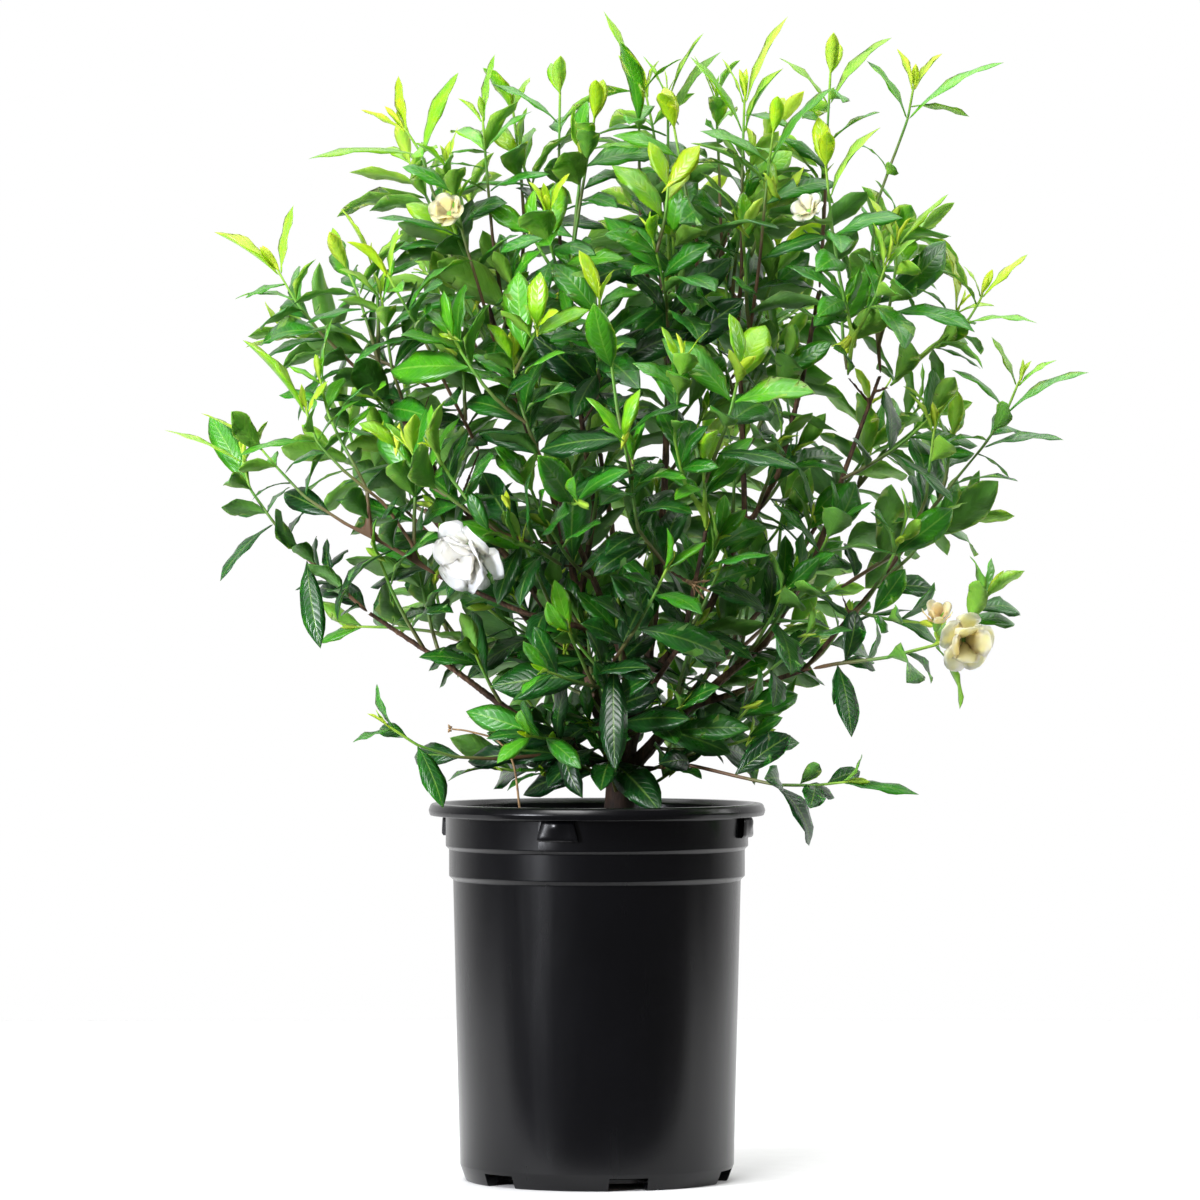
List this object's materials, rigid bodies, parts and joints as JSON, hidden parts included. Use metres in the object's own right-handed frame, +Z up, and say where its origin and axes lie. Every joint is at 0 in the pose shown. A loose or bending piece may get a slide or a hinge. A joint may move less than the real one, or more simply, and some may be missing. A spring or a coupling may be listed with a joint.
{
  "type": "potted gardenia",
  "caption": "Leafy gardenia shrub with glossy paired leaves and a few pale double flowers, on a short woody trunk in a round ribless nursery can filled with bark mix.",
  "frame": {"origin": "on the surface that the can stands on, under the middle of its foot", "axes": "+Z up; -Y is the side seen in the picture, with +X to its right"},
  "size_m": [0.723, 0.4682, 0.917],
  "materials": {
    "pot": "satin",
    "soil": "matte",
    "bark": "matte",
    "leaf": "satin",
    "petal_white": "matte",
    "petal_cream": "matte",
    "petal_withered": "matte"
  },
  "bodies": {
    "root": {"bloom_cream": "petal_cream", "bloom_high_left": "petal_cream", "bloom_high_right": "petal_cream", "bloom_white": "petal_white", "bloom_withered": "petal_withered", "branch_back_01": "leaf", "branch_back_02": "leaf", "branch_back_03": "leaf", "branch_back_04": "leaf", "branch_back_05": "leaf", "branch_back_06": "leaf", "branch_back_07": "leaf", "branch_back_08": "leaf", "branch_back_09": "leaf", "branch_back_10": "leaf", "branch_back_11": "leaf", "branch_back_12": "leaf", "branch_back_13": "leaf", "branch_back_14": "leaf", "branch_back_15": "leaf", "branch_bloom_stem": "leaf", "branch_front_left": "leaf", "branch_front_low": "leaf", "branch_front_mid": "leaf", "branch_front_right": "leaf", "branch_left_bottom": "leaf", "branch_left_crown": "leaf", "branch_left_crown_front": "leaf", "branch_left_front": "leaf", "branch_left_high": "leaf", "branch_left_low": "leaf", "branch_left_mid": "leaf", "branch_left_shoulder": "leaf", "branch_left_top": "leaf", "branch_left_top_front": "leaf", "branch_low_front": "leaf", "branch_low_front_left": "leaf", "branch_middle": "leaf", "branch_middle_high": "leaf", "branch_right_bloom": "leaf", "branch_right_bottom": "leaf", "branch_right_high": "leaf", "branch_right_inner": "leaf", "branch_right_low": "leaf", "branch_right_shoulder": "leaf", "branch_right_tall": "leaf", "branch_right_thin": "leaf", "branch_right_top": "leaf", "branch_right_top_front": "leaf", "branch_top_left": "leaf", "branch_top_mid": "leaf", "branch_top_mid_front": "leaf", "branch_top_right": "leaf", "branch_top_right_front": "leaf", "branch_top_tall": "leaf", "pot": "pot", "soil": "soil", "trunk": "bark"}
  },
  "joints": []
}
